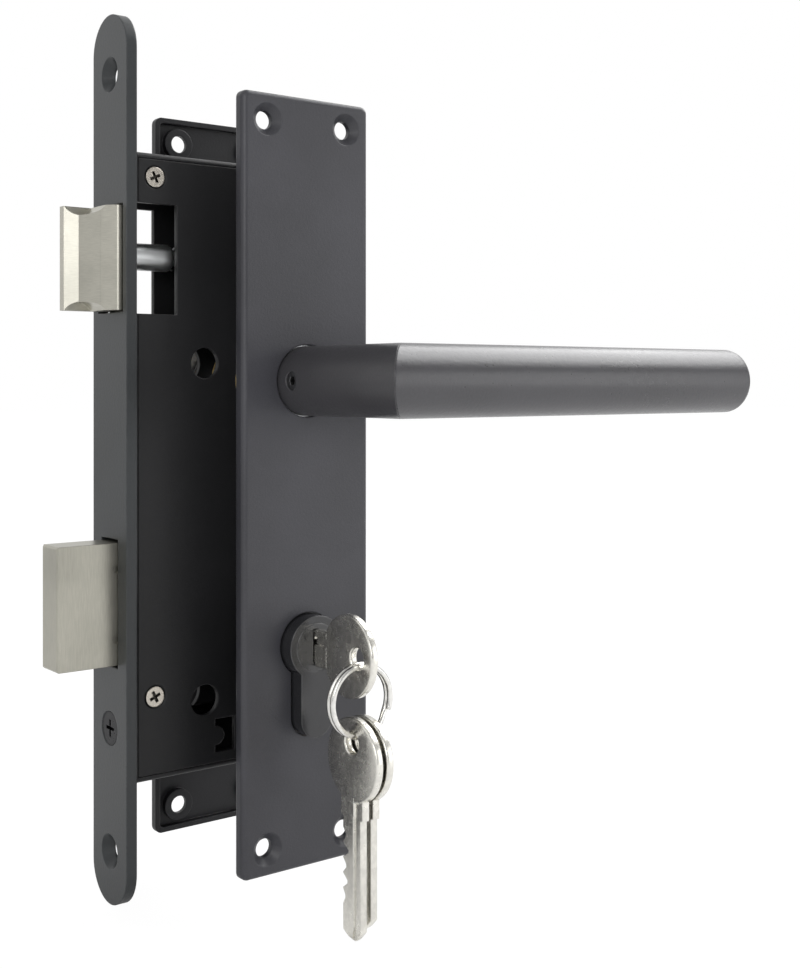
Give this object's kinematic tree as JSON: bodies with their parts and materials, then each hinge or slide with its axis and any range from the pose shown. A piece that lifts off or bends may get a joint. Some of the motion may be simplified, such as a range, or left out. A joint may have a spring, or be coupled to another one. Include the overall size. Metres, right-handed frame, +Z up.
{
  "type": "cylinder mortise lock",
  "caption": "Mortise lock with sprung latch, deadbolt, profile cylinder, lever handles on long plates and keys on a ring.",
  "frame": {"origin": "midway between the forend's two fixing holes, on the forend's outer face", "axes": "+X into the door from the forend, +Y towards the side without a key, +Z up"},
  "size_m": [0.189, 0.1556, 0.2423],
  "materials": {
    "plate_coat": "black satin powder coat",
    "handle_coat": "black satin powder coat",
    "forend_coat": "black satin powder coat",
    "case_coat": "black satin powder coat",
    "bolt_metal": "satin nickel",
    "zinc": "bright zinc",
    "screw_metal": "nickel plated",
    "spring_steel": "drawn wire",
    "inner_brass": "turned",
    "cylinder_metal": "black satin plating",
    "plug_metal": "satin nickel plating",
    "key_metal": "nickel plating",
    "ring_metal": "nickel plating"
  },
  "bodies": {
    "lock": {"forend": "forend_coat", "case_body": "case_coat", "case_cover": "case_coat", "case_screws": "screw_metal", "case_pillars": "zinc", "latch_guide": "zinc", "bolt_guide_pin": "zinc", "lock_lever_stump": "zinc", "follower_bushes": "inner_brass", "front_plate": "plate_coat", "rear_plate": "plate_coat", "front_plate_bush": "zinc", "rear_plate_bush": "zinc", "latch_spring": "spring_steel", "follower_spring": "spring_steel", "lock_lever_spring": "spring_steel", "cylinder_housing": "cylinder_metal", "rear_plug": "plug_metal", "rear_plug_clip": "spring_steel", "key_pins_rear": "inner_brass", "driver_pins_front": "inner_brass", "driver_pins_rear": "inner_brass", "pin_springs_front": "spring_steel", "pin_springs_rear": "spring_steel", "chamber_plugs": "inner_brass", "cylinder_screw": "screw_metal"},
    "handles": {"front_neck": "handle_coat", "front_lever": "handle_coat", "rear_neck": "handle_coat", "rear_lever": "handle_coat", "front_grub_screw": "spring_steel", "rear_grub_screw": "spring_steel", "front_circlip": "spring_steel", "rear_circlip": "spring_steel", "spindle": "zinc", "follower": "zinc"},
    "latch": {"latch_head": "bolt_metal", "latch_tail_rod": "zinc", "latch_tail_plate": "zinc"},
    "deadbolt": {"deadbolt_head": "bolt_metal", "deadbolt_tail": "zinc", "deadbolt_rivets": "zinc", "bolt_stump": "zinc"},
    "tumbler": {"lock_lever": "zinc"},
    "plug": {"front_plug": "plug_metal", "front_plug_clip": "spring_steel", "key_pins_front": "inner_brass", "cam": "zinc"},
    "key": {"key_in_plug": "key_metal"},
    "ring": {"key_ring": "ring_metal"},
    "spare_keys": {"hanging_key_front": "key_metal", "hanging_key_back": "key_metal"}
  },
  "joints": [
    {"name": "handle_turn", "type": "hinge", "parent": "lock", "child": "handles", "pos_m": [0.046, 0, 0.022], "axis": [0, 1, 0], "range_deg": [0, 40], "stiffness_Nm_per_rad": 0.9, "springref_deg": -68.75, "deforming": ["follower_spring"]},
    {"name": "latch_slide", "type": "slide", "parent": "lock", "child": "latch", "axis": [1, 0, 0], "range_m": [0, 0.011], "stiffness_N_per_m": 150, "springref_m": -0.02, "deforming": ["latch_spring"]},
    {"name": "plug_turn", "type": "hinge", "parent": "lock", "child": "plug", "pos_m": [0.046, 0, -0.05], "axis": [0, 1, 0], "range_deg": [0, 120]},
    {"name": "bolt_slide", "type": "slide", "parent": "lock", "child": "deadbolt", "axis": [1, 0, 0], "range_m": [0, 0.017]},
    {"name": "key_withdraw", "type": "slide", "parent": "plug", "child": "key", "axis": [0, -1, 0], "range_m": [0, 0.04]},
    {"name": "ring_swing", "type": "hinge", "parent": "key", "child": "ring", "pos_m": [0.046, -0.05075, -0.05], "axis": [1, 0, 0], "range_deg": [-60, 8]},
    {"name": "keys_level", "type": "hinge", "parent": "ring", "child": "spare_keys", "pos_m": [0.046, -0.05075, -0.06075], "axis": [0, 1, 0], "range_deg": [-120, 0]},
    {"name": "lock_lever_lift", "type": "hinge", "parent": "lock", "child": "tumbler", "pos_m": [0.06, 0, -0.016], "axis": [0, 1, 0], "range_deg": [0, 6], "stiffness_Nm_per_rad": 0.02, "springref_deg": -17.19, "deforming": ["lock_lever_spring"]}
  ],
  "couplings": [
    {"joint": "latch_slide", "follows": "handle_turn", "m_per_rad": 0.015756},
    {"joint": "plug_turn", "follows": "bolt_slide", "rad_per_m": 123.19},
    {"joint": "keys_level", "follows": "bolt_slide", "rad_per_m": -123.19}
  ]
}
